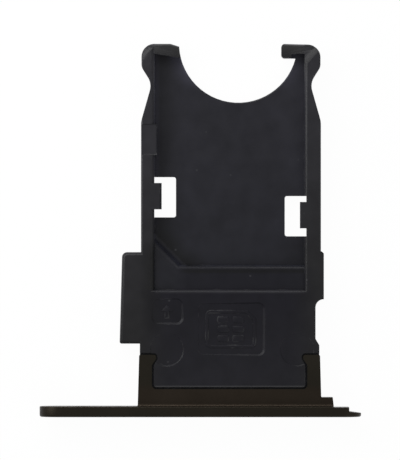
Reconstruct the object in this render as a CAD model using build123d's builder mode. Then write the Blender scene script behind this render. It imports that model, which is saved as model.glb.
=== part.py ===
from build123d import *
from math import cos, radians, sin
import os

os.makedirs("parts", exist_ok=True)

# Card that the tray carries
card_width = 8.8
card_length = 12.3
card_thickness = 0.67
corner_cut = 1.5

# Room round the card
side_clearance = 0.06
end_clearance = 0.03
lift_clearance = 0.05

# Tray heights and walls
floor_thickness = 0.4
tab_thickness = 0.3
left_rail_width = 0.815
right_rail_width = 0.98

# Lengths along the tray, from the outer face of the metal bar to the ears
plate_thickness = 0.63
neck_length = 1.03
arm_length = 2.04
deck_length = 3.875
ledge_length = 1.455
bar_width = 0.86

# Ears at the insertion end
head_length = 1.39
head_inset = 0.03
flank_length = 0.975
taper_length = 2.27
ear_inset = 0.645
head_round = 0.77
flank_round = 0.6
waist_round = 1.0
taper_round = 1.5
lead_in_length = 0.53
lead_in_drop = 0.3
corner_angle = 45
corner_length = 0.5
corner_drop = 0.2
facet_inset = 0.475
facet_gap = 0.87
facet_angle = 42
facet_run = 0.36
facet_span = 0.8
facet_reach = 1.1
right_droop = 0.065

# Thumb notch and the stop bars on both sides of it
notch_radius = 3.53
notch_offset = 0.52
notch_rise = 0.04
bar_step = 0.12
left_bar_length = 0.94
bar_slope_length = 0.7
bar_droop = 0.22
bar_slant = 0.32
right_bar_length = 1.375
right_bar_width = 0.6
hook_tip_length = 0.6
bar_tip_round = 0.2

# Lug on the left side
lug_reach = 1.125
lug_flare = 0.15
lug_length = 5.45
lug_gap = 0.66
lug_top_round = 0.3
lug_foot_round = 0.12
lug_edge_round = 0.22

# Guide pad and waist on the right side
pad_reach = 0.17
pad_chamfer = 0.12
pad_length = 2.845
pad_gap = 3.31
waist_inset = 0.325
flare_gap = 0.57
flare_length = 0.385

# Windows beside the rails with their hold-down tabs
window_width = 1.29
window_length = 2.4
left_window_centre = 4.055
left_window_bite = 0.025
right_window_centre = 2.925
right_window_bite = 0.125
tab_shift = 0.06
tab_length = 1.57
left_tab_reach = 0.415
right_tab_reach = 0.27
tab_chamfer = 0.12

# Grip rib on the left rail, and the shallow recess in the top of that rail
rib_reach = 0.13
rib_length = 1.84
rib_start = 6.57
rib_chamfer = 0.06
recess_depth = 0.05
recess_slope = 50

# Recesses in the deck, whose floors lean
panel_slope = 52
panel_round = 0.3
large_panel_width = 3.84
large_panel_length = 2.98
large_panel_gap = 0.85
large_panel_offset = 0.06
large_panel_depth = 0.055
large_panel_lean = 0.022
small_panel_width = 1.72
small_panel_length = 1.38
small_panel_gap = 0.575
small_panel_overlap = 0.13
small_panel_depth = 0.055
small_panel_lean = 0.033
dimple_radius = 0.97
dimple_depth = 0.032
dimple_lean = 0.032
dimple_slope = 50
dimple_spread = 3.87
dimple_gap = 3.525
dimple_offset = 0.14

# Rounds on the moulding
left_wall_round = 0.32
wall_round = 0.2
step_round = 0.24
key_corner_round = 0.3
notch_edge_round = 0.08
outer_round = 0.14

# Metal bar
plate_length = 19.16
plate_below = 0.25
plate_above = 0.55
plate_edge_round = 0.12
neck_root_width = 10.94
neck_tip_width = 10.77
neck_fillet = 0.12
arm_width = 0.755
arm_tip_round = 0.09
hook_reach = 0.25
hook_length = 0.62
hook_slope = 0.38
hook_round = 0.13
tongue_chamfer = 0.17
shoulder_step = 0.042
key_width = 0.732
key_length = 0.53
key_taper = 0.06
key_fillet = 0.08
key_land = 0.91
land_drop = 0.06
lip_length = 0.727
lip_thickness = 0.315
lip_tip = 0.23
pin_hole_diameter = 0.9
pin_hole_inset = 2.59

# Groove along the seam between the two pieces
seam_width = 0.095
seam_depth = 0.3

# Levels
ledge_level = floor_thickness + card_thickness
tab_level = ledge_level + lift_clearance
body_height = tab_level + tab_thickness
bar_level = body_height - bar_step
plate_height = plate_below + body_height + plate_above

# Stations along the tray
seat_y = plate_thickness + neck_length
arm_top_y = seat_y + arm_length
deck_edge_y = arm_top_y + deck_length
card_stop_y = deck_edge_y + ledge_length
bar_y = card_stop_y + card_length + end_clearance
overall_length = bar_y + bar_width
head_y = overall_length - head_length
waist_y = head_y - flank_length
taper_y = waist_y - taper_length
lug_foot_y = arm_top_y + lug_gap
lug_top_y = lug_foot_y + lug_length
pad_y = arm_top_y + pad_gap
pad_top_y = pad_y + pad_length
flare_y = arm_top_y + flare_gap
left_window_y = card_stop_y + left_window_centre
right_window_y = card_stop_y + right_window_centre
rib_y = card_stop_y + rib_start
notch_y = overall_length + notch_rise

# Stations across the tray, from its centreline
pocket_half = card_width / 2 + side_clearance
left_half = pocket_half + left_rail_width
right_half = pocket_half + right_rail_width
bar_bend_x = left_bar_length - pocket_half
bar_tip_x = bar_bend_x + bar_slope_length
hook_x = pocket_half - right_bar_length
pad_x = right_half + pad_reach
right_waist_x = right_half - waist_inset
pad_blend = pad_x - right_waist_x
neck_root_half = neck_root_width / 2
neck_tip_half = neck_tip_width / 2
shoulder_half = neck_tip_half - shoulder_step
tongue_half = neck_tip_half - arm_width
key_x = neck_root_half + key_width
lip_root_x = key_x + key_land
plate_right_x = lip_root_x + lip_length
tray_offset = plate_length / 2 - plate_right_x
lug_x = -left_half - lug_reach
lug_foot_x = lug_x - lug_flare
left_window_x = window_width / 2 - pocket_half - left_window_bite
right_window_x = pocket_half + right_window_bite - window_width / 2
left_tab_x = left_tab_reach - pocket_half
right_tab_x = pocket_half - right_tab_reach
rib_x = rib_reach - pocket_half

# Sketches on these planes use the tray's own stations
tray_plane = Plane(origin=(tray_offset, -overall_length / 2, plate_below))
plate_plane = Plane.XZ.offset(overall_length / 2 - plate_thickness)

# Nearness within which an edge counts as lying at a level
nearness = 0.001


def corners(sketch, *points):
    return [sketch.vertices().sort_by_distance(point)[0] for point in points]


def level_edge(part, x, y, level):
    station = tray_plane.from_local_coords((x, y, level))
    edges = part.edges().filter_by_position(Axis.Z, station.Z - nearness, station.Z + nearness)
    return edges.sort_by_distance(station)[0]


def upright_edge(part, x, y):
    station = tray_plane.from_local_coords((x, y, body_height / 2))
    return part.edges().filter_by(Axis.Z).sort_by_distance(station)[0]


def leaning_floor(x, y, depth, lean_x, lean_y):
    station = tray_plane.from_local_coords((x, y, body_height - depth))
    return Plane(origin=station, x_dir=(1, 0, -lean_x), z_dir=(lean_x, lean_y, 1))


def side_plane(x, y, angle):
    facing = Vector(-cos(radians(angle)), sin(radians(angle)), 0)
    station = tray_plane.from_local_coords((x, y, body_height))
    return Plane(origin=station, x_dir=facing, z_dir=facing.cross(Vector(0, 0, 1)))


# Neck and hooked arms of the metal bar, which the plastic tongue fills
with BuildSketch(tray_plane) as arm_profile:
    with BuildLine() as half_arm:
        Polyline(
            (0, plate_thickness),
            (neck_root_half, plate_thickness),
            (neck_tip_half, arm_top_y),
            (tongue_half - hook_reach, arm_top_y),
            (tongue_half - hook_reach, arm_top_y - hook_length + hook_slope),
            (tongue_half, arm_top_y - hook_length),
            (tongue_half, seat_y),
            (0, seat_y),
            close=True,
        )
    make_face()
    fillet(
        corners(
            arm_profile,
            (tongue_half - hook_reach, arm_top_y),
            (tongue_half - hook_reach, arm_top_y - hook_length + hook_slope),
        ),
        radius=hook_round,
    )
    fillet(corners(arm_profile, (neck_tip_half, arm_top_y)), radius=arm_tip_round)
    chamfer(corners(arm_profile, (tongue_half, seat_y)), length=tongue_chamfer)
    mirror(about=Plane.YZ)

# Moulded card tray
with BuildPart() as card_tray:
    with BuildSketch(tray_plane) as tray_outline:
        with BuildLine() as outline:
            foot = Polyline(
                (tongue_half, arm_top_y),
                (shoulder_half, arm_top_y),
                (shoulder_half, flare_y),
                (right_waist_x, flare_y + flare_length),
                (right_waist_x, pad_y - pad_blend),
            )
            pad_foot = TangentArc(foot @ 1, (pad_x, pad_y), tangent=(0, 1))
            Polyline(
                pad_foot @ 1,
                (pad_x, pad_top_y - pad_chamfer),
                (pad_x - pad_chamfer, pad_top_y),
                (right_half, pad_top_y),
                (right_half, overall_length),
                (hook_x, overall_length),
                (bar_tip_x, overall_length - bar_droop),
                (bar_bend_x, overall_length),
                (-left_half, overall_length),
                (-left_half, lug_top_y),
                (lug_x, lug_top_y),
                (lug_foot_x, lug_foot_y),
                (-shoulder_half, lug_foot_y),
                (-shoulder_half, arm_top_y),
                (-tongue_half, arm_top_y),
                (-tongue_half, seat_y),
                (tongue_half, seat_y),
                (tongue_half, arm_top_y),
            )
        make_face()
        fillet(corners(tray_outline, (lug_x, lug_top_y)), radius=lug_top_round)
        fillet(corners(tray_outline, (lug_foot_x, lug_foot_y)), radius=lug_foot_round)
        with Locations((notch_offset, notch_y)):
            Circle(notch_radius, mode=Mode.SUBTRACT)
    extrude(amount=body_height)

    # Rounded outer edges of the rails and the lug
    rail_middle_y = (card_stop_y + taper_y) / 2
    lug_side = level_edge(card_tray, lug_x - lug_flare / 2, lug_foot_y + lug_length / 2, body_height)
    lug_end = level_edge(card_tray, lug_x + lug_reach / 2, lug_top_y, body_height)
    fillet([lug_side, lug_end], radius=lug_edge_round)
    left_rail = level_edge(card_tray, -left_half, rail_middle_y, body_height)
    right_rail = level_edge(card_tray, right_half, rail_middle_y, body_height)
    fillet([left_rail, right_rail], radius=outer_round)

    # Dovetail seat for the metal arms, with the groove that shows along the seam
    extrude(arm_profile.sketch, amount=body_height, mode=Mode.SUBTRACT)
    with BuildSketch(tray_plane.offset(body_height)) as seam_band:
        add(arm_profile.sketch_local)
        offset(amount=seam_width)
    extrude(amount=-seam_depth, mode=Mode.SUBTRACT)

    # Shallow channel between the rails at the level of the card's top, open at the ears
    with BuildSketch(tray_plane.offset(ledge_level)) as channel:
        with Locations((0, deck_edge_y)):
            Rectangle(2 * pocket_half, overall_length - deck_edge_y, align=(Align.CENTER, Align.MIN))
    extrude(amount=body_height - ledge_level, mode=Mode.SUBTRACT)

    # Card pocket with its keyed corner, down to the floor
    with BuildSketch(tray_plane.offset(floor_thickness)) as pocket:
        with BuildLine() as pocket_outline:
            Polyline(
                (corner_cut - pocket_half, card_stop_y),
                (pocket_half, card_stop_y),
                (pocket_half, overall_length),
                (-pocket_half, overall_length),
                (-pocket_half, card_stop_y + corner_cut),
                close=True,
            )
        make_face()
    extrude(amount=card_thickness, mode=Mode.SUBTRACT)

    # Rounded edges of the pocket walls, of both steps and of the thumb notch
    right_wall = level_edge(card_tray, pocket_half, rail_middle_y, body_height)
    deck_edge = level_edge(card_tray, 0, deck_edge_y, body_height)
    fillet([right_wall, deck_edge], radius=wall_round)
    left_wall = level_edge(card_tray, -pocket_half, rail_middle_y, body_height)
    fillet(left_wall, radius=left_wall_round)
    card_stop = level_edge(card_tray, 0, card_stop_y, ledge_level)
    fillet(card_stop, radius=step_round)
    keyed_corner = level_edge(
        card_tray, corner_cut / 2 - pocket_half, card_stop_y + corner_cut / 2, ledge_level
    )
    fillet(keyed_corner, radius=key_corner_round)
    notch_edge = level_edge(card_tray, notch_offset, notch_y - notch_radius, floor_thickness)
    fillet(notch_edge, radius=notch_edge_round)

    # Stop bars that close the pocket on both sides of the thumb notch
    with BuildSketch(tray_plane) as left_bar:
        with BuildLine() as left_bar_outline:
            Polyline(
                (-pocket_half - left_wall_round, bar_y + bar_slant),
                (bar_tip_x, bar_y),
                (bar_tip_x, overall_length - bar_droop),
                (bar_bend_x, overall_length),
                (-pocket_half - left_wall_round, overall_length),
                close=True,
            )
        make_face()
        with Locations((notch_offset, notch_y)):
            Circle(notch_radius, mode=Mode.SUBTRACT)
    extrude(amount=bar_level)
    with BuildSketch(tray_plane) as hook_floor:
        with Locations((hook_x, overall_length)):
            Rectangle(right_bar_length + wall_round, bar_width, align=(Align.MIN, Align.MAX))
        fillet(corners(hook_floor, (hook_x, overall_length), (hook_x, bar_y)), radius=bar_tip_round)
    extrude(amount=floor_thickness)
    with BuildSketch(tray_plane) as right_hook:
        with Locations((hook_x, overall_length)):
            Rectangle(right_bar_length + wall_round, right_bar_width, align=(Align.MIN, Align.MAX))
            Rectangle(hook_tip_length, bar_width, align=(Align.MIN, Align.MAX))
        fillet(corners(right_hook, (hook_x, overall_length), (hook_x, bar_y)), radius=bar_tip_round)
    extrude(amount=bar_level)

    # Windows beside the rails, and the hold-down tabs that reach over them
    with BuildSketch(tray_plane) as windows:
        with Locations((left_window_x, left_window_y), (right_window_x, right_window_y)):
            Rectangle(window_width, window_length)
    extrude(amount=body_height, mode=Mode.SUBTRACT)
    with BuildSketch(tray_plane.offset(tab_level)) as tabs:
        with Locations((left_tab_x, left_window_y + tab_shift)):
            Rectangle(left_tab_reach + left_rail_width / 2, tab_length, align=(Align.MAX, Align.CENTER))
        with Locations((right_tab_x, right_window_y + tab_shift)):
            Rectangle(right_tab_reach + right_rail_width / 2, tab_length, align=(Align.MIN, Align.CENTER))
    extrude(amount=tab_thickness)
    left_tab_edge = level_edge(card_tray, left_tab_x, left_window_y + tab_shift, body_height)
    right_tab_edge = level_edge(card_tray, right_tab_x, right_window_y + tab_shift, body_height)
    chamfer([left_tab_edge, right_tab_edge], length=tab_chamfer)

    # Grip rib on the left rail, and the recess in the top of that rail
    with BuildSketch(tray_plane.offset(floor_thickness)) as rib:
        with Locations((rib_x, rib_y)):
            Rectangle(rib_reach + left_wall_round, rib_length, align=(Align.MAX, Align.MIN))
    extrude(amount=body_height - floor_thickness)
    with BuildSketch(tray_plane.offset(body_height)) as rail_recess:
        with Locations((0, rib_y)):
            Rectangle(plate_length / 2, rib_length, align=(Align.MAX, Align.MIN))
    extrude(amount=-recess_depth, taper=recess_slope, mode=Mode.SUBTRACT)
    rib_edge = level_edge(card_tray, rib_x, rib_y + rib_length / 2, body_height - recess_depth)
    chamfer(rib_edge, length=rib_chamfer)

    # Recessed panels and ejector dimples in the deck
    large_panel_y = deck_edge_y - large_panel_gap - large_panel_length / 2
    large_floor = leaning_floor(large_panel_offset, large_panel_y, large_panel_depth, large_panel_lean, 0)
    with BuildSketch(large_floor) as large_panel:
        RectangleRounded(large_panel_width, large_panel_length, panel_round)
    extrude(amount=body_height, taper=-panel_slope, mode=Mode.SUBTRACT)
    small_panel_x = small_panel_width / 2 - pocket_half - small_panel_overlap
    small_panel_y = deck_edge_y - small_panel_gap - small_panel_length / 2
    small_floor = leaning_floor(
        small_panel_x, small_panel_y, small_panel_depth, small_panel_lean, -small_panel_lean
    )
    with BuildSketch(small_floor) as small_panel:
        RectangleRounded(small_panel_width, small_panel_length, panel_round)
    extrude(amount=body_height, taper=-panel_slope, mode=Mode.SUBTRACT)
    dimple_y = deck_edge_y - dimple_gap
    for side in (-1, 1):
        dimple_x = dimple_offset + side * dimple_spread
        with BuildSketch(leaning_floor(dimple_x, dimple_y, dimple_depth, 0, -dimple_lean)) as dimple:
            Circle(dimple_radius)
        extrude(amount=body_height, taper=-dimple_slope, mode=Mode.SUBTRACT)

    # Waist, head and rounded lead-in of each ear
    head_end = overall_length / 2
    head_top = plate_below + body_height
    for side, rail_width, droop in ((-1, left_rail_width, 0), (1, right_rail_width, right_droop)):
        rail_x = side * (pocket_half + rail_width)
        waist_x = rail_x - side * ear_inset
        head_x = rail_x - side * head_inset
        with BuildSketch(tray_plane) as ear_trim:
            with BuildLine() as ear_outline:
                Polyline(
                    (rail_x, taper_y - taper_length),
                    (rail_x, taper_y),
                    (waist_x, waist_y),
                    (head_x, head_y),
                    (head_x, overall_length - droop),
                    (side * hook_x, overall_length),
                    (side * hook_x, overall_length + head_length),
                    (rail_x + side * rail_width, overall_length + head_length),
                    (rail_x + side * rail_width, taper_y - taper_length),
                    close=True,
                )
            make_face()
            fillet(corners(ear_trim, (rail_x, taper_y)), radius=taper_round)
            fillet(corners(ear_trim, (waist_x, waist_y)), radius=waist_round)
            fillet(corners(ear_trim, (head_x, head_y)), radius=flank_round)
            fillet(corners(ear_trim, (head_x, overall_length - droop)), radius=head_round)
        extrude(amount=body_height, mode=Mode.SUBTRACT)
        with BuildSketch(Plane.YZ.offset(tray_offset + side * pocket_half)) as lead_in:
            with BuildLine() as lead_in_outline:
                crown = TangentArc(
                    (head_end - lead_in_length, head_top),
                    (head_end, head_top - lead_in_drop),
                    tangent=(1, 0),
                )
                Polyline(crown @ 1, (head_end, head_top), crown @ 0)
            make_face()
        extrude(amount=side * rail_width, mode=Mode.SUBTRACT)

    # Rounded outer corner of the left head
    corner_x = head_inset + head_round - left_half
    with BuildSketch(side_plane(corner_x, overall_length - head_round, corner_angle)) as head_corner:
        with BuildLine() as head_corner_outline:
            corner_crown = TangentArc(
                (head_round - corner_length, 0),
                (head_round, -corner_drop),
                tangent=(1, 0),
            )
            Polyline(corner_crown @ 1, (head_round, 0), corner_crown @ 0)
        make_face()
    extrude(amount=head_round, both=True, mode=Mode.SUBTRACT)

    # Facet on the inner corner of the right head, down to the level of the hook
    facet_x = pocket_half + facet_inset
    with BuildSketch(side_plane(facet_x, overall_length - facet_gap, facet_angle)) as head_facet:
        with BuildLine() as facet_outline:
            Polyline(
                (0, 0),
                (facet_run, -bar_step),
                (facet_reach, -bar_step),
                (facet_reach, 0),
                close=True,
            )
        make_face()
    extrude(amount=facet_span, both=True, mode=Mode.SUBTRACT)

card_tray.part.label = "card_tray"
export_step(card_tray.part, "parts/card_tray.step")

# Metal face bar
with BuildPart() as face_bar:
    with BuildSketch(plate_plane) as plate_outline:
        with Locations((0, plate_height / 2)):
            SlotOverall(plate_length, plate_height)
    extrude(amount=plate_thickness)
    fillet(face_bar.faces().sort_by(Axis.Y)[0].edges(), radius=plate_edge_round)

    # Lower land beside the key block, and the thin lip at the right end
    with BuildSketch(Plane(origin=(tray_offset, -overall_length / 2, 0))) as end_relief:
        with BuildLine() as end_relief_outline:
            Polyline(
                (key_x, plate_thickness),
                (key_x, plate_thickness - land_drop),
                (lip_root_x, plate_thickness - land_drop),
                (lip_root_x, lip_thickness),
                (plate_right_x, lip_tip),
                (plate_right_x, plate_thickness),
                close=True,
            )
        make_face()
    extrude(amount=plate_height, mode=Mode.SUBTRACT)

    # Neck with its arms, and the key block beside it
    extrude(arm_profile.sketch, amount=body_height)
    with BuildSketch(tray_plane) as key_block:
        with BuildLine() as key_outline:
            Polyline(
                (0, plate_thickness),
                (key_x, plate_thickness),
                (key_x - key_taper, plate_thickness + key_length),
                (0, plate_thickness + key_length),
                close=True,
            )
        make_face()
    extrude(amount=body_height)

    # Fillets where the neck meets the key and the plate
    key_corner = upright_edge(face_bar, neck_root_half, plate_thickness + key_length)
    neck_root = upright_edge(face_bar, -neck_root_half, plate_thickness)
    fillet([key_corner, neck_root], radius=key_fillet)
    neck_crease = level_edge(face_bar, 0, plate_thickness, body_height)
    fillet(neck_crease, radius=neck_fillet)

    # Hole for the eject pin
    with BuildSketch(plate_plane) as pin_hole:
        with Locations((pin_hole_inset - plate_length / 2, plate_height / 2)):
            Circle(pin_hole_diameter / 2)
    extrude(amount=plate_thickness, mode=Mode.SUBTRACT)

face_bar.part.label = "face_bar"
export_step(face_bar.part, "parts/face_bar.step")
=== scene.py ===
import math
import bmesh
import bpy
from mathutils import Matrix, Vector


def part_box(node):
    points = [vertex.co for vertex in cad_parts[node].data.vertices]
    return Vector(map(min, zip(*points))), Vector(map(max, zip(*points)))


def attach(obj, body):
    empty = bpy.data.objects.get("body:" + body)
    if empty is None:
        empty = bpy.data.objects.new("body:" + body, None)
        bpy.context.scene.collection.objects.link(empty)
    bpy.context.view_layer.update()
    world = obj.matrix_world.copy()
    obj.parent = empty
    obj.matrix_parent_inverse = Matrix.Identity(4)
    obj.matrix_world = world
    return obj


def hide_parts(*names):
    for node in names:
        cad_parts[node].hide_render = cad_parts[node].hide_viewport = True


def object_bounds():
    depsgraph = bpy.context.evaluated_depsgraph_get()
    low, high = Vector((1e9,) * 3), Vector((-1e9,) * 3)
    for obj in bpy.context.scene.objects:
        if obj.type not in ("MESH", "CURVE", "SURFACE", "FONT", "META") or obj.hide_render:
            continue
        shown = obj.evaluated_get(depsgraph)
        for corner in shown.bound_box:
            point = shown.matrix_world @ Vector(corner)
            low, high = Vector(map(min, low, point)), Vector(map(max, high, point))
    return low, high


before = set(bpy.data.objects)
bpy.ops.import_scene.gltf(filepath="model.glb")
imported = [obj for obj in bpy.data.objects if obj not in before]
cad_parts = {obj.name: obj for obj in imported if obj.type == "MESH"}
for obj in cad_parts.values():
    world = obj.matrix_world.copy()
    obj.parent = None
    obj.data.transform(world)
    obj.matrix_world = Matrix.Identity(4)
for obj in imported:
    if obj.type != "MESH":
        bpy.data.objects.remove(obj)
cadLow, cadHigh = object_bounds()
trayLow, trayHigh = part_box("card_tray")
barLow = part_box("face_bar")[0]
mm = 0.001
plateInner = barLow.y + 0.63 * mm   # inner face of the cover plate


def deselectAll():
    bpy.ops.object.select_all(action="DESELECT")


def makeActive(piece):
    deselectAll()
    piece.select_set(True)
    bpy.context.view_layer.objects.active = piece


def selectEdges(piece, wanted):
    bpy.ops.object.mode_set(mode="EDIT")
    bpy.ops.mesh.select_mode(type="EDGE")
    bpy.ops.mesh.select_all(action="DESELECT")
    mesh = bmesh.from_edit_mesh(piece.data)
    chosen = [edge for edge in mesh.edges if wanted(edge)]
    for edge in chosen:
        edge.select_set(True)
    bmesh.update_edit_mesh(piece.data)
    return len(chosen)


def addNode(tree, kind, inputs=None, **settings):
    node = tree.nodes.new(kind)
    for key, value in settings.items():
        setattr(node, key, value)
    for key, value in (inputs or {}).items():
        node.inputs[key].default_value = value
    return node


def newFinish(name):
    finish = bpy.data.materials.new(name)
    finish.use_nodes = True
    tree = finish.node_tree
    tree.nodes.clear()
    output = tree.nodes.new("ShaderNodeOutputMaterial")
    return finish, tree, output


def noiseAt(tree, coords, scale, detail):
    noise = addNode(tree, "ShaderNodeTexNoise", {"Scale": scale, "Detail": detail})
    tree.links.new(coords.outputs["Object"], noise.inputs["Vector"])
    return noise.outputs["Fac"]


def remap(tree, source, fromLow, fromHigh, toLow, toHigh, blend="LINEAR"):
    ranged = addNode(
        tree,
        "ShaderNodeMapRange",
        {"From Min": fromLow, "From Max": fromHigh, "To Min": toLow, "To Max": toHigh},
        interpolation_type=blend,
    )
    tree.links.new(source, ranged.inputs["Value"])
    return ranged.outputs["Result"]


def calculate(tree, operation, *values):
    node = addNode(tree, "ShaderNodeMath", operation=operation)
    for socket, value in zip(node.inputs, values):
        if isinstance(value, float):
            socket.default_value = value
        else:
            tree.links.new(value, socket)
    return node.outputs["Value"]


def blendColours(tree, factor, first, second):
    mix = addNode(tree, "ShaderNodeMix", data_type="RGBA")
    tree.links.new(factor, mix.inputs["Factor"])
    for socket, colour in ((mix.inputs["A"], first), (mix.inputs["B"], second)):
        if isinstance(colour, tuple):
            socket.default_value = colour
        else:
            tree.links.new(colour, socket)
    return mix.outputs["Result"]


def multiplyColours(tree, first, second):
    mix = addNode(tree, "ShaderNodeMix", {"Factor": 1.0}, data_type="RGBA", blend_type="MULTIPLY")
    tree.links.new(first, mix.inputs["A"])
    tree.links.new(second, mix.inputs["B"])
    return mix.outputs["Result"]


plainTone = (1.0, 1.0, 1.0, 1.0)


def tint(tree, base, mask, tone):
    return multiplyColours(tree, base, blendColours(tree, mask, plainTone, tone))


def rising(tree, source, start, end):   # 0 at the start and 1 at the end
    return remap(tree, source, start, end, 0.0, 1.0)


def falling(tree, source, start, end):
    return remap(tree, source, start, end, 1.0, 0.0)


def product(tree, first, *others):
    result = first
    for other in others:
        result = calculate(tree, "MULTIPLY", result, other)
    return result


def awayFrom(tree, source, middle):
    return calculate(tree, "ABSOLUTE", calculate(tree, "SUBTRACT", source, middle))


def edgeMask(tree, size):
    rounded = addNode(
        tree, "ShaderNodeBevel", {"Radius": size["edgeRadius"]}, samples=size["edgeSamples"],
    )
    facing = tree.nodes.new("ShaderNodeNewGeometry")
    likeness = addNode(tree, "ShaderNodeVectorMath", operation="DOT_PRODUCT")
    tree.links.new(rounded.outputs["Normal"], likeness.inputs[0])
    tree.links.new(facing.outputs["Normal"], likeness.inputs[1])
    return rising(tree, likeness.outputs["Value"], size["edgeStart"], size["edgeFull"])


def facingOf(tree):
    facing = tree.nodes.new("ShaderNodeNewGeometry")
    parts = tree.nodes.new("ShaderNodeSeparateXYZ")
    tree.links.new(facing.outputs["Normal"], parts.inputs["Vector"])
    return parts.outputs


def placeOf(tree, coords):
    parts = tree.nodes.new("ShaderNodeSeparateXYZ")
    tree.links.new(coords.outputs["Object"], parts.inputs["Vector"])
    return parts.outputs


def distanceFrom(tree, coords, point):
    away = addNode(tree, "ShaderNodeVectorMath", {1: point}, operation="DISTANCE")
    tree.links.new(coords.outputs["Object"], away.inputs[0])
    return away.outputs["Value"]


def addBump(tree, height, depth, strength, before=None):
    bump = addNode(tree, "ShaderNodeBump", {"Strength": strength, "Distance": depth})
    tree.links.new(height, bump.inputs["Height"])
    if before is not None:
        tree.links.new(before, bump.inputs["Normal"])
    return bump.outputs["Normal"]


# where the rails, the pocket and the keyed corner lie
trayZones = {
    "middleX": (trayLow.x + trayHigh.x) / 2 + 0.468 * mm,
    "pocketHalf": 4.40 * mm,
    "pocketSoftness": 0.06 * mm,
    "railHeight": 1.45 * mm,
    "railSoftness": 0.06 * mm,
    "cornerLow": -1.45 * mm,   # the keyed corner lies left of this
    "cornerHigh": -0.80 * mm,
}


def findZones(tree, coords, size):
    place = placeOf(tree, coords)
    fromMiddle = awayFrom(tree, place["X"], size["middleX"])
    railLow = size["railHeight"] - size["railSoftness"]
    railHigh = size["railHeight"] + size["railSoftness"]
    pocketEnd = size["pocketHalf"] + size["pocketSoftness"]
    return {
        "alongX": place["X"],
        "alongY": place["Y"],
        "fromMiddle": fromMiddle,
        "onRail": remap(tree, place["Z"], railLow, railHigh, 0.0, 1.0, "SMOOTHSTEP"),
        "inPocket": falling(tree, fromMiddle, size["pocketHalf"], pocketEnd),
        "pastCorner": rising(tree, place["X"], size["cornerLow"], size["cornerHigh"]),
    }


# the pocket's floor: painted shade and light that vary along, across and near the walls
floorShades = {
    "fadeTone": (0.76, 0.80, 0.84, 1.0),      # painted shade, darker towards the bar
    "fadeLow": -4.5 * mm,
    "fadeHigh": 5.0 * mm,
    "rightTone": (1.45, 1.45, 1.42, 1.0),     # painted light beside the right rail
    "rightLow": 3.6 * mm,
    "rightHigh": 6.1 * mm,
    "lowRightTone": (0.78, 0.78, 0.80, 1.0),  # painted shade below the right window
    "lowRightY": -0.9 * mm,
    "highRightY": 0.0,
    "leftDark": 0.78,          # a painted soft shadow along the left wall
    "leftPale": 1.18,
    "leftLow": -1.95 * mm,
    "leftHigh": -0.90 * mm,
    "leftEnd": 0.30 * mm,
    "footPale": 2.0,           # painted light at the foot of that wall
    "footLow": -2.65 * mm,
    "footHigh": -2.20 * mm,
    "footEnd": -0.80 * mm,
    "footStart": -0.30 * mm,
    "notchCentre": (2.261 * mm, 11.15 * mm, 0.65 * mm),
    "notchRadius": 3.53 * mm,
    "notchReach": 0.90 * mm,   # painted light on the floor beside the notch
    "notchLow": 8.2 * mm,
    "notchHigh": 10.3 * mm,
    "notchLeftX": -1.5 * mm,
    "notchRightX": 6.0 * mm,
    "notchLeft": 3.2,
    "notchRight": 1.4,
    "keyDark": 0.30,           # painted shade at the foot of the keyed corner
    "keyTop": -3.10 * mm,      # these three are x plus y
    "keyLow": -2.75 * mm,
    "keyHigh": -1.40 * mm,
    "keyEndHigh": -2.08 * mm,
    "keyEndLow": -2.20 * mm,
}


# painted shade along the floor, with painted light beside the right rail and painted shade below the
# right window
def shadeRight(tree, zones, size):
    along = rising(tree, zones["alongY"], size["fadeLow"], size["fadeHigh"])
    lengthFade = blendColours(tree, along, size["fadeTone"], plainTone)
    toRight = rising(tree, zones["alongX"], size["rightLow"], size["rightHigh"])
    atLowRight = rising(tree, zones["alongY"], size["highRightY"], size["lowRightY"])
    rightEnd = blendColours(tree, atLowRight, size["rightTone"], size["lowRightTone"])
    return tint(tree, lengthFade, toRight, rightEnd)


# painted shadow along the left wall, with painted light at its foot
def shadeLeft(tree, zones, size):
    fromLeft = remap(
        tree, zones["alongX"], size["leftLow"], size["leftHigh"], size["leftDark"], size["leftPale"],
    )
    pastLeft = remap(tree, zones["alongX"], size["leftHigh"], size["leftEnd"], size["leftPale"], 1.0)
    leftFoot = remap(tree, zones["alongX"], size["footLow"], size["footHigh"], size["footPale"], 0.0)
    aboveKey = rising(tree, zones["alongY"], size["footEnd"], size["footStart"])
    leftShade = calculate(tree, "MINIMUM", fromLeft, pastLeft)
    return calculate(tree, "MAXIMUM", product(tree, leftFoot, aboveKey), leftShade)


# painted light on the floor beside the thumb notch
def lightBesideNotch(tree, coords, zones, size):
    fromNotch = distanceFrom(tree, coords, size["notchCentre"])
    notchEnd = size["notchRadius"] + size["notchReach"]
    nearNotch = falling(tree, fromNotch, size["notchRadius"], notchEnd)
    besideNotch = rising(tree, zones["alongY"], size["notchLow"], size["notchHigh"])
    strength = remap(
        tree, zones["alongX"], size["notchLeftX"], size["notchRightX"],
        size["notchLeft"], size["notchRight"],
    )
    return calculate(tree, "ADD", product(tree, nearNotch, besideNotch, strength), 1.0)


# painted shade at the foot of the keyed corner
def shadeKey(tree, zones, size):
    across = calculate(tree, "ADD", zones["alongX"], zones["alongY"])
    onKey = falling(tree, across, size["keyTop"], size["keyLow"])
    pastKey = remap(tree, across, size["keyLow"], size["keyHigh"], size["keyDark"], 1.0)
    belowKey = rising(tree, zones["alongY"], size["keyEndHigh"], size["keyEndLow"])
    offKey = calculate(tree, "MAXIMUM", onKey, belowKey)
    return calculate(tree, "MAXIMUM", offKey, pastKey)


def shadeFloor(tree, coords, zones, size):
    leftShade = shadeLeft(tree, zones, size)
    notchLight = lightBesideNotch(tree, coords, zones, size)
    localShade = product(tree, leftShade, notchLight, shadeKey(tree, zones, size))
    return multiplyColours(tree, shadeRight(tree, zones, size), localShade)
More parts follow.
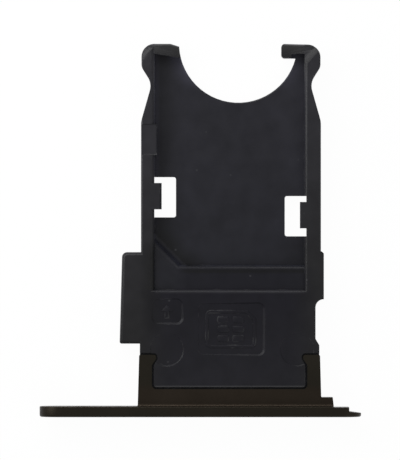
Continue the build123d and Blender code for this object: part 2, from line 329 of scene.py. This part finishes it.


# painted shade: the rails darken towards the bar, and the left one beside the pocket
railShades = {
    "fadeTone": (0.56, 0.56, 0.50, 1.0),
    "fadeLow": -4.5 * mm,
    "fadeHigh": 5.0 * mm,
    "fadeTurn": -0.3,
    "slopeShadeTone": (0.25, 0.25, 0.24, 1.0),
    "slopeLeft": -3.60 * mm,
    "slopeRight": -2.85 * mm,
    "slopeInner": -1.95 * mm,
    "slopeTop": -0.40 * mm,
    "slopeFull": -1.40 * mm,
    "slopeFade": -5.40 * mm,
    "slopeEnd": -6.20 * mm,
}


def shadeRails(tree, zones, size):
    turned = calculate(tree, "MULTIPLY_ADD", zones["alongX"], size["fadeTurn"], zones["alongY"])
    along = rising(tree, turned, size["fadeLow"], size["fadeHigh"])
    lengthFade = blendColours(tree, along, size["fadeTone"], plainTone)
    # painted shade on the left rail's rounded slope beside the pocket
    fromLeft = rising(tree, zones["alongX"], size["slopeLeft"], size["slopeRight"])
    fromPocket = rising(tree, zones["alongX"], size["slopeInner"], size["slopeRight"])
    belowTop = rising(tree, zones["alongY"], size["slopeTop"], size["slopeFull"])
    aboveEnd = rising(tree, zones["alongY"], size["slopeEnd"], size["slopeFade"])
    inSlopeShade = product(tree, fromLeft, fromPocket, product(tree, belowTop, aboveEnd))
    return tint(tree, lengthFade, inSlopeShade, size["slopeShadeTone"])


# painted shade: the deck is darker, with a painted highlight along its edge
deckShades = {
    "topTone": (0.0017, 0.0014, 0.0050, 1.0),
    "lowTone": (0.0056, 0.0054, 0.0086, 1.0),
    "topY": -3.6 * mm,
    "lowY": -9.0 * mm,
    "railInner": 3.4 * mm,     # it fades out towards the rails
    "railOuter": 5.70 * mm,
    "stopY": -2.2 * mm,        # the ledge starts here
    "stopSoftness": 0.2 * mm,
    "ledgeShare": 0.70,        # and is paler than the deck
    "ledgeLow": -3.60 * mm,
    "ledgeHigh": -3.50 * mm,
    "edgeHighlightTone": (0.0125, 0.0122, 0.0160, 1.0),
    "edgeY": -3.64 * mm,
    "edgeNear": 0.06 * mm,
    "edgeFar": 0.14 * mm,
    "dipTone": (0.25, 0.25, 0.30, 1.0),   # painted shade in a strip behind the ledge's edge
    "dipY": -2.42 * mm,
    "dipNear": 0.05 * mm,
    "dipFar": 0.20 * mm,
}


def findDeck(tree, zones, size):
    offRail = remap(
        tree, zones["fromMiddle"], size["railInner"], size["railOuter"], 1.0, 0.0, "SMOOTHSTEP",
    )
    stopLow = size["stopY"] - size["stopSoftness"]
    stopHigh = size["stopY"] + size["stopSoftness"]
    pastStop = remap(
        tree, zones["alongY"], stopLow, stopHigh, size["ledgeShare"], 0.0, "SMOOTHSTEP",
    )
    onLedge = product(tree, pastStop, zones["pastCorner"])
    pastLedge = falling(tree, zones["alongY"], size["ledgeLow"], size["ledgeHigh"])
    return product(tree, calculate(tree, "MAXIMUM", onLedge, pastLedge), offRail)


def shadeDeck(tree, zones, base, size):
    # painted shade on the deck and ledge, with a painted highlight along the deck's edge
    along = rising(tree, zones["alongY"], size["lowY"], size["topY"])
    deckTone = blendColours(tree, along, size["lowTone"], size["topTone"])
    fromEdge = awayFrom(tree, zones["alongY"], size["edgeY"])
    nearEdge = falling(tree, fromEdge, size["edgeNear"], size["edgeFar"])
    onEdgeHighlight = product(tree, nearEdge, zones["inPocket"])
    edged = blendColours(tree, onEdgeHighlight, deckTone, size["edgeHighlightTone"])
    decked = blendColours(tree, findDeck(tree, zones, size), base, edged)
    # painted shade in a strip behind the ledge's edge
    fromDip = awayFrom(tree, zones["alongY"], size["dipY"])
    nearDip = falling(tree, fromDip, size["dipNear"], size["dipFar"])
    onDip = product(tree, nearDip, zones["inPocket"], zones["pastCorner"])
    return tint(tree, decked, onDip, size["dipTone"])


# painted light on the ears where they enter the slot, and painted shade and light on the stop bars,
# paler towards their outer edge
endShades = {
    "endLightTone": (0.0200, 0.0200, 0.0212, 1.0),
    "endLightLow": 10.2 * mm,
    "endLightHigh": 11.3 * mm,
    "stopLowTone": (0.0065, 0.0064, 0.0075, 1.0),
    "stopHighTone": (0.0215, 0.0213, 0.0222, 1.0),
    "stopLow": 10.40 * mm,
    "stopHigh": 11.00 * mm,
    "stopSoftness": 0.06 * mm,
}


def shadeEnds(tree, zones, base, size):
    atEnd = rising(tree, zones["alongY"], size["endLightLow"], size["endLightHigh"])
    onEnd = product(tree, atEnd, zones["onRail"])
    endLit = blendColours(tree, onEnd, base, size["endLightTone"])
    # painted shade and light on the stop bars, paler towards their outer edge
    along = rising(tree, zones["alongY"], size["stopLow"], size["stopHigh"])
    stopTone = blendColours(tree, along, size["stopLowTone"], size["stopHighTone"])
    stopStart = size["endLightLow"] - size["stopSoftness"]
    atStop = rising(tree, zones["alongY"], stopStart, size["endLightLow"])
    onStop = product(tree, atStop, zones["onRail"], zones["inPocket"])
    return blendColours(tree, onStop, endLit, stopTone)


# painted light on steep walls, least of all on those that face the side box
wallShades = {
    "shadeTone": (2.4, 2.4, 2.3, 1.0),
    "litTone": (1.75, 1.75, 1.70, 1.0),
    "steepStart": 0.75,        # upward part of the normal
    "steepFull": 0.45,
    "litFull": -0.6,           # sideways part of the normal
    "litEnd": 0.2,
    "facetShadeTone": (0.25, 0.25, 0.25, 1.0),   # painted shade on the right head's slope
    "facetStart": -0.10,
    "facetFull": -0.35,
    "facetX": 4.0 * mm,
    "facetLow": 9.2 * mm,
    "facetHigh": 10.2 * mm,
}


def shadeWalls(tree, zones, base, size):
    facing = facingOf(tree)
    upright = calculate(tree, "ABSOLUTE", facing["Z"])
    steep = rising(tree, upright, size["steepStart"], size["steepFull"])
    awayFromSide = rising(tree, facing["X"], size["litFull"], size["litEnd"])
    wallTone = blendColours(tree, awayFromSide, size["litTone"], size["shadeTone"])
    brightened = tint(tree, base, steep, wallTone)
    # painted shade on the right head's slope
    towardsSide = rising(tree, facing["X"], size["facetStart"], size["facetFull"])
    atHead = rising(tree, zones["alongY"], size["facetLow"], size["facetHigh"])
    onRight = calculate(tree, "GREATER_THAN", zones["alongX"], size["facetX"])
    onFacet = product(tree, towardsSide, atHead, onRight)
    return tint(tree, brightened, onFacet, size["facetShadeTone"])


# pale specks, chipped edges and a painted highlight along the seam
trayWearAndHighlight = {
    "speckTone": (0.040, 0.040, 0.044, 1.0),
    "speckScale": 640.0,
    "speckRadius": 0.05,
    "wearAndHighlightTone": (0.050, 0.050, 0.052, 1.0),
    "edgeRadius": 0.08 * mm,
    "edgeSamples": 4,
    "edgeStart": 0.97,         # likeness of the normal to a rounded one
    "edgeFull": 0.85,
    "chipScale": 1500.0,
    "chipDetail": 2.0,
    "chipStart": 0.53,
    "chipFull": 0.63,
    "seamShare": 0.7,
    "seamLow": -9.30 * mm,
    "seamHigh": -9.22 * mm,
}


def addWearAndHighlight(tree, coords, zones, base, size):
    specks = addNode(tree, "ShaderNodeTexVoronoi", {"Scale": size["speckScale"]})
    tree.links.new(coords.outputs["Object"], specks.inputs["Vector"])
    onSpeck = rising(tree, specks.outputs["Distance"], size["speckRadius"], 0.0)
    speckled = blendColours(tree, onSpeck, base, size["speckTone"])
    chipNoise = noiseAt(tree, coords, size["chipScale"], size["chipDetail"])
    chips = rising(tree, chipNoise, size["chipStart"], size["chipFull"])
    chipped = product(tree, edgeMask(tree, size), chips)
    # painted highlight along the seam
    atSeam = remap(tree, zones["alongY"], size["seamHigh"], size["seamLow"], 0.0, size["seamShare"])
    seamHighlight = product(tree, atSeam, zones["onRail"])
    wornAndLit = calculate(tree, "MAXIMUM", chipped, seamHighlight)
    return blendColours(tree, wornAndLit, speckled, size["wearAndHighlightTone"])


# satin charcoal plastic, with painted light on the rails
trayFinish = {
    "floorTone": (0.0094, 0.0093, 0.0138, 1.0),
    "railTone": (0.0142, 0.0139, 0.0175, 1.0),
    "patchLow": (0.86, 0.86, 0.86, 1.0),
    "patchHigh": (1.14, 1.14, 1.14, 1.0),
    "patchStart": 0.75,
    "patchFull": 1.25,
    "mottleScale": 330.0,      # patches of about 3 mm
    "mottleDetail": 4.0,
    "blotchScale": 1100.0,     # cloudy marks of about 1 mm
    "blotchDetail": 3.0,
    "grainScale": 9000.0,      # mould texture of about 0.1 mm
    "grainDetail": 2.0,
    "grainDepth": 0.004 * mm,
    "grainStrength": 0.35,
    "waveScale": 380.0,        # sink marks of the moulding
    "waveDetail": 1.0,
    "waveDepth": 0.030 * mm,
    "waveStrength": 0.6,
    "sheenStart": 0.3,
    "sheenFull": 0.7,
    "roughLow": 0.37,
    "roughHigh": 0.45,
    "gloss": 0.29,
}


def makeTrayPlastic(size):
    finish, tree, output = newFinish("satinCharcoalPlastic")
    coords = tree.nodes.new("ShaderNodeTexCoord")
    zones = findZones(tree, coords, trayZones)
    mottle = noiseAt(tree, coords, size["mottleScale"], size["mottleDetail"])
    blotch = noiseAt(tree, coords, size["blotchScale"], size["blotchDetail"])
    grain = noiseAt(tree, coords, size["grainScale"], size["grainDetail"])
    wave = noiseAt(tree, coords, size["waveScale"], size["waveDetail"])

    # painted light on the rails, then painted shade and light by place and by facing
    tone = blendColours(tree, zones["onRail"], size["floorTone"], size["railTone"])
    floorFade = shadeFloor(tree, coords, zones, floorShades)
    railFade = shadeRails(tree, zones, railShades)
    fade = blendColours(tree, zones["onRail"], floorFade, railFade)
    decked = shadeDeck(tree, zones, multiplyColours(tree, tone, fade), deckShades)
    ended = shadeEnds(tree, zones, decked, endShades)
    walled = shadeWalls(tree, zones, ended, wallShades)
    cloudy = calculate(tree, "ADD", mottle, blotch)
    patches = rising(tree, cloudy, size["patchStart"], size["patchFull"])
    clouds = blendColours(tree, patches, size["patchLow"], size["patchHigh"])
    wornAndLit = addWearAndHighlight(tree, coords, zones, multiplyColours(tree, walled, clouds), trayWearAndHighlight)

    shader = addNode(tree, "ShaderNodeBsdfPrincipled", {"Specular IOR Level": size["gloss"]})
    tree.links.new(wornAndLit, shader.inputs["Base Color"])
    sheen = remap(
        tree, blotch, size["sheenStart"], size["sheenFull"], size["roughLow"], size["roughHigh"],
    )
    tree.links.new(sheen, shader.inputs["Roughness"])
    waves = addBump(tree, wave, size["waveDepth"], size["waveStrength"])
    grains = addBump(tree, grain, size["grainDepth"], size["grainStrength"], waves)
    tree.links.new(grains, shader.inputs["Normal"])
    tree.links.new(shader.outputs["BSDF"], output.inputs["Surface"])
    return finish


# bead blasted metal with a brown black anodised skin
barFinish = {
    "darkTone": (0.0300, 0.0237, 0.0180, 1.0),
    "lightTone": (0.0345, 0.0273, 0.0208, 1.0),
    "patchStart": 0.35,
    "patchFull": 0.65,
    "mottleScale": 420.0,
    "mottleDetail": 3.0,
    "grainScale": 14000.0,     # blasting pits of about 0.07 mm
    "grainDetail": 2.0,
    "grainDepth": 0.003 * mm,
    "grainStrength": 0.4,
    "sheenStart": 0.3,
    "sheenFull": 0.7,
    "roughLow": 0.44,
    "roughHigh": 0.54,
    "plateShade": (0.84, 0.92, 0.93, 1.0),
    "plateEdge": plateInner,
    "plateSoftness": 0.05 * mm,
    "creaseHighlight": (1.45, 1.45, 1.45, 1.0),   # painted highlight where the neck meets the plate
    "creaseWidth": 0.22 * mm,
    "armShade": (0.86, 0.96, 0.98, 1.0),
    "armLow": -9.55 * mm,
    "armHigh": -9.15 * mm,
}


def shadeBar(tree, alongY, size):
    plateLow = size["plateEdge"] - size["plateSoftness"]
    plateHigh = size["plateEdge"] + size["plateSoftness"]
    onNeck = rising(tree, alongY, plateLow, plateHigh)
    pastCrease = rising(tree, alongY, plateHigh, size["plateEdge"] + size["creaseWidth"])
    neckShade = blendColours(tree, pastCrease, size["creaseHighlight"], plainTone)
    lowShade = blendColours(tree, onNeck, size["plateShade"], neckShade)
    onArm = rising(tree, alongY, size["armLow"], size["armHigh"])
    return blendColours(tree, onArm, lowShade, size["armShade"])


def makeBarMetal(size):
    finish, tree, output = newFinish("brownBlackAnodising")
    coords = tree.nodes.new("ShaderNodeTexCoord")
    mottle = noiseAt(tree, coords, size["mottleScale"], size["mottleDetail"])
    grain = noiseAt(tree, coords, size["grainScale"], size["grainDetail"])
    patches = rising(tree, mottle, size["patchStart"], size["patchFull"])
    tone = blendColours(tree, patches, size["darkTone"], size["lightTone"])
    shade = shadeBar(tree, placeOf(tree, coords)["Y"], size)
    shader = addNode(tree, "ShaderNodeBsdfPrincipled", {"Metallic": 1.0})
    tree.links.new(multiplyColours(tree, tone, shade), shader.inputs["Base Color"])
    sheen = remap(
        tree, grain, size["sheenStart"], size["sheenFull"], size["roughLow"], size["roughHigh"],
    )
    tree.links.new(sheen, shader.inputs["Roughness"])
    pits = addBump(tree, grain, size["grainDepth"], size["grainStrength"])
    tree.links.new(pits, shader.inputs["Normal"])
    tree.links.new(shader.outputs["BSDF"], output.inputs["Surface"])
    return finish


# merged copies of the CAD solids carry the finishes
dressing = {
    "weld": 0.0001 * mm,
    "flatAngle": math.radians(0.2),
    "creaseAngle": math.radians(28.0),
    "sharpAngle": math.radians(50.0),
    "nearness": 0.002 * mm,
}


def copyNode(nodeName, pieceName):
    piece = bpy.data.objects.new(pieceName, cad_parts[nodeName].data.copy())
    bpy.context.scene.collection.objects.link(piece)
    makeActive(piece)
    bpy.ops.object.mode_set(mode="EDIT")
    bpy.ops.mesh.select_all(action="SELECT")
    bpy.ops.mesh.remove_doubles(threshold=dressing["weld"])
    bpy.ops.mesh.dissolve_limited(angle_limit=dressing["flatAngle"])
    bpy.ops.object.mode_set(mode="OBJECT")
    bpy.ops.mesh.customdata_custom_splitnormals_clear()
    return piece


def roundEdges(piece, wanted, width, steps, turn=1):
    def sharpAndWanted(edge):   # a turn of -1 takes the inner corners
        if len(edge.link_faces) != 2:
            return False
        sharp = turn * edge.calc_face_angle_signed() > dressing["sharpAngle"]
        return sharp and all(wanted(vertex.co) for vertex in edge.verts)

    makeActive(piece)
    count = selectEdges(piece, sharpAndWanted)
    bpy.ops.mesh.bevel(offset=width, segments=steps, affect="EDGES", clamp_overlap=False)
    bpy.ops.object.mode_set(mode="OBJECT")
    print(piece.name, count, "edges rounded")


def leanPoints(piece, wanted, middle, lean):
    chosen = [vertex for vertex in piece.data.vertices if wanted(vertex.co)]
    for vertex in chosen:
        vertex.co.z += lean[0] * (vertex.co.x - middle[0]) + lean[1] * (vertex.co.y - middle[1])
    print(piece.name, len(chosen), "points leant")


# fine rounds of the moulding and of the bar, too small for the solids
edgeRounds = {
    "seamTop": -7.30 * mm,     # the seam runs below this
    "seamWidth": 0.07 * mm,
    "barLevel": 1.55 * mm,
    "barMiddle": (0.0, 10.35 * mm),
    "barLean": (0.0, -0.08),   # the stop bars slope down to the insertion end
    "barOuter": 10.84 * mm,    # their outer edges lie past this
    "barWidth": 0.20 * mm,
    "windowSides": (-1.454 * mm, 5.036 * mm),
    "windowWidth": 0.13 * mm,
    "keyLevel": 0.65 * mm,
    "keySum": -3.299 * mm,     # x plus y along the keyed corner's foot
    "keyWidth": 0.33 * mm,
    "plateWidth": 0.05 * mm,
    "steps": 3,
    "keySteps": 6,
}


def roundTrayEdges(piece, size):
    near = dressing["nearness"]

    def onSeam(point):
        return abs(point.z - trayHigh.z) < near and point.y < size["seamTop"]

    def onWindowSide(point):
        return min(abs(point.x - side) for side in size["windowSides"]) < near

    def onBarEdge(point):
        return abs(point.z - size["barLevel"]) < near and point.y > size["barOuter"]

    def onKeyFoot(point):
        atLevel = abs(point.z - size["keyLevel"]) < near
        return atLevel and abs(point.x + point.y - size["keySum"]) < near

    def onBarTop(point):
        return abs(point.z - size["barLevel"]) < near and point.y > size["barMiddle"][1]

    roundEdges(piece, onSeam, size["seamWidth"], size["steps"])
    roundEdges(piece, onWindowSide, size["windowWidth"], size["steps"], turn=-1)
    roundEdges(piece, onBarEdge, size["barWidth"], size["steps"])
    roundEdges(piece, onKeyFoot, size["keyWidth"], size["keySteps"], turn=-1)
    leanPoints(piece, onBarTop, size["barMiddle"], size["barLean"])


def roundBarEdges(piece, size):
    near = dressing["nearness"]
    roundEdges(
        piece, lambda point: abs(point.y - plateInner) < near,
        size["plateWidth"], size["steps"],
    )


# low marks in the two panels: a card with its contacts, and the way it goes in
panelMarks = {
    "cardCentre": (1.801 * mm, -5.875 * mm, 1.615 * mm),
    "cardSize": (3.00 * mm, 2.24 * mm),
    "cardCut": 0.52 * mm,
    "cardRound": 0.30 * mm,    # stays wider than the line
    "cardSteps": 4,
    "lowShare": 0.45,          # picks the lower corners
    "cardLine": 0.17 * mm,
    "padSize": (0.66 * mm, 0.38 * mm),
    "padStep": (0.90 * mm, 0.56 * mm),
    "padRound": 0.09 * mm,
    "padSteps": 3,
    "firstPad": (-1, 0),       # column and row
    "otherPads": ((-1, -1), (-1, 1), (1, -1), (1, 0), (1, 1)),
    "arrowCentre": (-1.989 * mm, -4.80 * mm, 1.615 * mm),
    "arrowStem": (0.24 * mm, 0.42 * mm),
    "arrowSpread": 2.9,
    "arrowTip": 0.36 * mm,
    "height": 0.045 * mm,
    "sink": 0.06 * mm,
    "edge": 0.03 * mm,
    "edgeSteps": 2,
    "cardLean": (-0.022, 0.0),
    "arrowLean": (-0.033, 0.033),
}


def startMark(name, centre, width, length):
    deselectAll()
    bpy.ops.mesh.primitive_plane_add(size=1.0, location=centre)
    mark = bpy.context.object
    mark.name = name
    bpy.ops.object.mode_set(mode="EDIT")
    bpy.ops.mesh.select_all(action="SELECT")
    bpy.ops.transform.resize(value=(width, length, 1.0))
    return mark


def selectCorners(mark, wanted):
    bpy.ops.mesh.select_mode(type="VERT")
    bpy.ops.mesh.select_all(action="DESELECT")
    mesh = bmesh.from_edit_mesh(mark.data)
    for vertex in mesh.verts:
        vertex.select_set(wanted(vertex.co))
    mesh.select_flush(True)
    bmesh.update_edit_mesh(mark.data)


def raiseMark(mark, centre, lean, size):
    bpy.ops.mesh.select_all(action="SELECT")
    bpy.ops.transform.translate(value=(0.0, 0.0, -size["sink"]))
    bpy.ops.mesh.extrude_region_move(
        TRANSFORM_OT_translate={"value": (0.0, 0.0, size["sink"] + size["height"])}
    )
    bpy.ops.mesh.select_all(action="SELECT")
    bpy.ops.mesh.normals_make_consistent(inside=False)
    bpy.ops.object.mode_set(mode="OBJECT")
    bpy.ops.object.transform_apply(location=True, rotation=True, scale=True)
    soften = mark.modifiers.new("softEdges", "BEVEL")
    soften.width = size["edge"]
    soften.segments = size["edgeSteps"]
    soften.limit_method = "ANGLE"
    soften.angle_limit = dressing["sharpAngle"]
    bpy.ops.object.modifier_apply(modifier=soften.name)
    leanPoints(mark, lambda point: True, centre, lean)
    return mark


def makeCardOutline(size):
    width, length = size["cardSize"]
    mark = startMark("cardOutline", size["cardCentre"], width, length)
    selectCorners(mark, lambda point: point.x > 0.0 and point.y > 0.0)
    bpy.ops.mesh.bevel(offset=size["cardCut"], segments=1, affect="VERTICES")
    selectCorners(mark, lambda point: point.x < 0.0 or point.y < -size["lowShare"] * length)
    bpy.ops.mesh.bevel(offset=size["cardRound"], segments=size["cardSteps"], affect="VERTICES")
    bpy.ops.mesh.select_all(action="SELECT")
    bpy.ops.mesh.inset(thickness=size["cardLine"])
    bpy.ops.mesh.delete(type="FACE")
    return raiseMark(mark, size["cardCentre"], size["cardLean"], size)


def moveContact(column, row, size):
    alongX, alongY = column * size["padStep"][0] / 2, row * size["padStep"][1]
    rise = size["cardLean"][0] * alongX + size["cardLean"][1] * alongY
    bpy.ops.transform.translate(value=(alongX, alongY, rise))
    bpy.ops.object.transform_apply(location=True, rotation=True, scale=True)


def copyContact(first, column, row, size):
    makeActive(first)
    bpy.ops.object.duplicate(linked=False)
    moveContact(column, row, size)
    return bpy.context.object


def makeContacts(size):
    first = startMark("cardContact", size["cardCentre"], *size["padSize"])
    bpy.ops.mesh.bevel(offset=size["padRound"], segments=size["padSteps"], affect="VERTICES")
    raiseMark(first, size["cardCentre"], size["cardLean"], size)
    marks = [first]
    for column, row in size["otherPads"]:
        marks.append(copyContact(first, column, row, size))
    makeActive(first)
    moveContact(*size["firstPad"], size)
    return marks


def makeArrow(size):
    width, length = size["arrowStem"]
    centreX, centreY, centreZ = size["arrowCentre"]
    mark = startMark("arrowMark", (centreX, centreY - length / 2, centreZ), width, length)
    selectCorners(mark, lambda point: point.y > 0.0)
    bpy.ops.mesh.extrude_region_move(TRANSFORM_OT_translate={"value": (0.0, 0.0, 0.0)})
    bpy.ops.transform.resize(value=(size["arrowSpread"], 1.0, 1.0))
    bpy.ops.mesh.extrude_region_move(TRANSFORM_OT_translate={"value": (0.0, size["arrowTip"], 0.0)})
    bpy.ops.mesh.merge(type="CENTER")
    return raiseMark(mark, size["arrowCentre"], size["arrowLean"], size)


def addMarks(tray, size):
    for mark in [makeCardOutline(size), makeArrow(size)] + makeContacts(size):
        makeActive(tray)
        union = tray.modifiers.new("raisedMark", "BOOLEAN")
        union.operation = "UNION"
        union.solver = "EXACT"
        union.object = mark
        bpy.ops.object.modifier_apply(modifier=union.name)
        bpy.data.objects.remove(mark)
    print("marks raised in the panels")


def dressPiece(piece, nodeName, finish):
    makeActive(piece)
    bpy.ops.object.shade_smooth_by_angle(angle=dressing["creaseAngle"])
    shading = piece.modifiers.new("evenFlats", "WEIGHTED_NORMAL")   # flats stay flat
    shading.keep_sharp = True
    bpy.ops.object.modifier_apply(modifier=shading.name)
    piece.data.materials.clear()
    piece.data.materials.append(finish)
    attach(piece, "root")
    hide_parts(nodeName)
    print(piece.name, len(piece.data.polygons), "faces")


trayPlastic = makeTrayPlastic(trayFinish)
barMetal = makeBarMetal(barFinish)
mouldedTray = copyNode("card_tray", "mouldedTray")
anodisedBar = copyNode("face_bar", "anodisedBar")
roundTrayEdges(mouldedTray, edgeRounds)
roundBarEdges(anodisedBar, edgeRounds)
addMarks(mouldedTray, panelMarks)
dressPiece(mouldedTray, "card_tray", trayPlastic)
dressPiece(anodisedBar, "face_bar", barMetal)
print("pieces dressed")

# white floor that keeps a soft shadow
floorSize = {
    "halfSide": 1.2,
    "tone": (0.92, 0.92, 0.92, 1.0),
    "glowShare": 0.97,         # how much of the white is the floor's own
}


def makeFloor(size):
    deselectAll()
    bpy.ops.mesh.primitive_plane_add(size=2 * size["halfSide"], location=(0, 0, cadLow.z))
    floor = bpy.context.object
    floor.name = "paleFloor"
    finish, tree, output = newFinish("paleFloor")
    matt = addNode(tree, "ShaderNodeBsdfDiffuse", {"Color": size["tone"]})
    glow = addNode(tree, "ShaderNodeEmission", {"Strength": 1.0})
    rays = tree.nodes.new("ShaderNodeLightPath")
    seen = calculate(tree, "MAXIMUM", rays.outputs["Is Camera Ray"], rays.outputs["Is Glossy Ray"])
    seenThrough = calculate(tree, "MAXIMUM", seen, rays.outputs["Is Transmission Ray"])
    white = tree.nodes.new("ShaderNodeMixShader")
    tree.links.new(calculate(tree, "MULTIPLY", seenThrough, size["glowShare"]), white.inputs["Fac"])
    tree.links.new(matt.outputs["BSDF"], white.inputs[1])
    tree.links.new(glow.outputs["Emission"], white.inputs[2])
    clear = tree.nodes.new("ShaderNodeBsdfTransparent")
    side = tree.nodes.new("ShaderNodeNewGeometry")
    oneSided = tree.nodes.new("ShaderNodeMixShader")   # seen from below, the floor is clear
    tree.links.new(side.outputs["Backfacing"], oneSided.inputs["Fac"])
    tree.links.new(white.outputs["Shader"], oneSided.inputs[1])
    tree.links.new(clear.outputs["BSDF"], oneSided.inputs[2])
    tree.links.new(oneSided.outputs["Shader"], output.inputs["Surface"])
    floor.data.materials.append(finish)


makeFloor(floorSize)

# soft boxes at the left and the top of the view, a weak fill, and an even sky
lightSetup = {
    "sky": 0.44,
    "sideDirection": Vector((-1.10, 0.45, 0.85)),
    "sideDistance": 0.08,
    "sideWidth": 0.050,
    "sideHeight": 0.045,
    "sidePower": 0.028,
    "backDirection": Vector((-0.35, 1.10, 1.05)),
    "backDistance": 0.08,
    "backWidth": 0.060,
    "backHeight": 0.045,
    "backPower": 0.028,
    "fillDirection": Vector((0.80, -0.65, 0.75)),
    "fillDistance": 0.30,
    "fillWidth": 0.30,
    "fillHeight": 0.30,
    "fillPower": 0.22,
}


def addSoftBox(name, direction, distance, width, height, power):
    bpy.ops.object.light_add(type="AREA")
    lamp = bpy.context.object
    lamp.name = name
    lamp.data.shape = "RECTANGLE"
    lamp.data.size = width
    lamp.data.size_y = height
    lamp.data.energy = power
    lamp.location = direction.normalized() * distance
    lamp.rotation_euler = direction.to_track_quat("Z", "Y").to_euler()
    lamp.visible_camera = False


def lightScene(size):
    world = bpy.data.worlds.new("evenSky")
    world.use_nodes = True
    background = world.node_tree.nodes["Background"]
    background.inputs["Strength"].default_value = size["sky"]
    background.inputs["Color"].default_value = plainTone
    bpy.context.scene.world = world
    for name in ("side", "back", "fill"):
        addSoftBox(
            name + "Box", size[name + "Direction"], size[name + "Distance"],
            size[name + "Width"], size[name + "Height"], size[name + "Power"],
        )


lightScene(lightSetup)

# camera straight above, with a long lens
cameraSetup = {
    "pixelsPerMm": 16.8,
    "imageHeight": 460,
    "centreX": -0.0208 * mm,
    "centreY": 0.021 * mm,
    "distance": 0.40,
    "sensor": 36.0,
    "clipStart": 0.01,
    "clipEnd": 10.0,
}


def addCamera(size):
    seenHeight = size["imageHeight"] / size["pixelsPerMm"] * mm
    bpy.ops.object.camera_add(
        location=(size["centreX"], size["centreY"], trayHigh.z + size["distance"]),
        rotation=(0.0, 0.0, 0.0),
    )
    camera = bpy.context.object
    camera.data.sensor_width = size["sensor"]
    camera.data.lens = size["sensor"] * size["distance"] / seenHeight
    camera.data.clip_start = size["clipStart"]
    camera.data.clip_end = size["clipEnd"]
    bpy.context.scene.camera = camera


addCamera(cameraSetup)
bpy.context.scene.view_settings.view_transform = "Standard"
print("stage, light and camera set")
